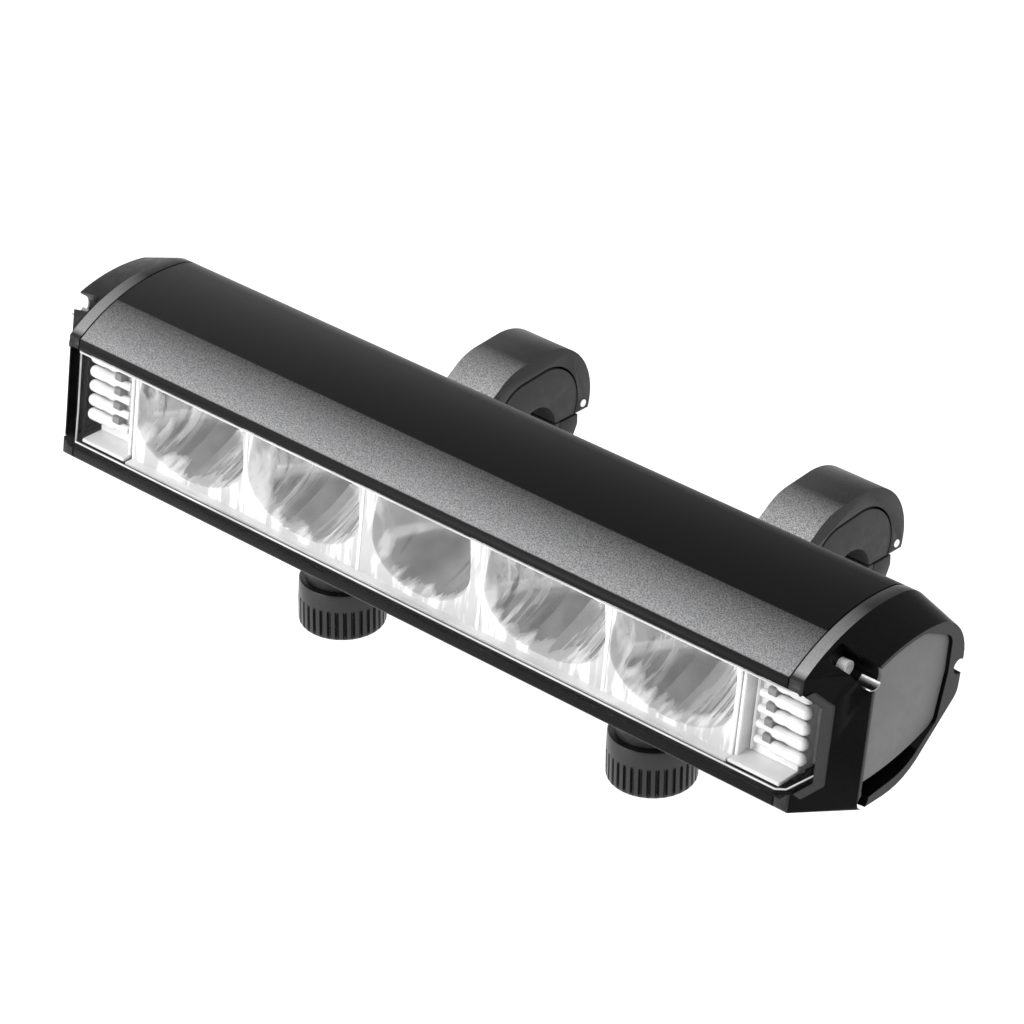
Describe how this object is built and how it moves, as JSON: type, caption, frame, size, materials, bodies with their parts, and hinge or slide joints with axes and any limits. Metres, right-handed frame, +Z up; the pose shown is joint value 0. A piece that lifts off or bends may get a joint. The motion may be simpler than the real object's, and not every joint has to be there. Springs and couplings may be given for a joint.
{
  "type": "LED light bar with tube clamps",
  "caption": "Long LED lamp with a sealed glass front, reflector bowls, end marker lamps and hinged knob-tightened clamps that hold it on a round tube.",
  "frame": {"origin": "on the axis of the tube that carries the bar, midway between the two clamps", "axes": "+X along the bar and the tube, to the right seen from the back; +Y to the back of the bar, away from where it shines; +Z up"},
  "size_m": [0.4, 0.1782, 0.1177],
  "materials": {
    "housing": "fine textured black powder coat on aluminium",
    "end_cap": "satin black paint on cast aluminium",
    "end_panel": "flat grey paint",
    "end_frame": "satin",
    "clamp": "grainy satin dark grey coat on cast aluminium",
    "liner": "matt black",
    "seal": "matt black",
    "lens": "clear polycarbonate, glossy",
    "reflector": "metallised, mirror bright",
    "marker": "white, glossy",
    "board_white": "white solder mask",
    "board_green": "green solder mask",
    "components": "moulded black",
    "led": "yellow phosphor in a white package",
    "gland": "moulded black nylon",
    "chrome_screws": "polished",
    "steel_screws": "bright zinc",
    "insert": "machined",
    "hinge_pin": "bright ground ends",
    "stud": "bright zinc",
    "knob": "satin black, ribbed"
  },
  "bodies": {
    "bar": {"housing": "housing", "lens": "lens", "lens_seal": "seal", "reflector": "reflector", "led_board": "board_white", "led_chips": "led", "driver_board": "board_green", "driver_parts": "components", "gland_body": "gland", "gland_nut": "gland", "gland_seal": "seal", "marker_left": "marker", "marker_right": "marker", "marker_board_left": "board_green", "marker_board_right": "board_green", "end_frame_left": "end_frame", "end_frame_right": "end_frame", "end_seal_left": "seal", "end_seal_right": "seal", "end_cap_left": "end_cap", "end_cap_right": "end_cap", "end_panel_left": "end_panel", "end_panel_right": "end_panel", "cap_screws_left": "chrome_screws", "cap_screws_right": "chrome_screws", "clamp_arm_left": "clamp", "clamp_arm_right": "clamp", "arm_screws_left": "steel_screws", "arm_screws_right": "steel_screws", "upper_liner_left": "liner", "upper_liner_right": "liner", "thread_insert_left": "insert", "thread_insert_right": "insert", "hinge_pin_left": "hinge_pin", "hinge_pin_right": "hinge_pin"},
    "jaw_left": {"clamp_jaw_left": "clamp", "lower_liner_left": "liner"},
    "knob_left": {"stud_left": "stud", "knob_left": "knob"},
    "jaw_right": {"clamp_jaw_right": "clamp", "lower_liner_right": "liner"},
    "knob_right": {"stud_right": "stud", "knob_right": "knob"}
  },
  "joints": [
    {"name": "jaw_left_hinge", "type": "hinge", "parent": "bar", "child": "jaw_left", "pos_m": [-0.08, 0.027, 0.0034], "axis": [1, 0, 0], "range_deg": [0, 60]},
    {"name": "knob_left_spin", "type": "hinge", "parent": "jaw_left", "child": "knob_left", "pos_m": [-0.08, -0.097, -0.037], "axis": [0, 0, 1], "continuous": true},
    {"name": "jaw_right_hinge", "type": "hinge", "parent": "bar", "child": "jaw_right", "pos_m": [0.08, 0.027, 0.0034], "axis": [1, 0, 0], "range_deg": [0, 60]},
    {"name": "knob_right_spin", "type": "hinge", "parent": "jaw_right", "child": "knob_right", "pos_m": [0.08, -0.097, -0.037], "axis": [0, 0, 1], "continuous": true}
  ]
}
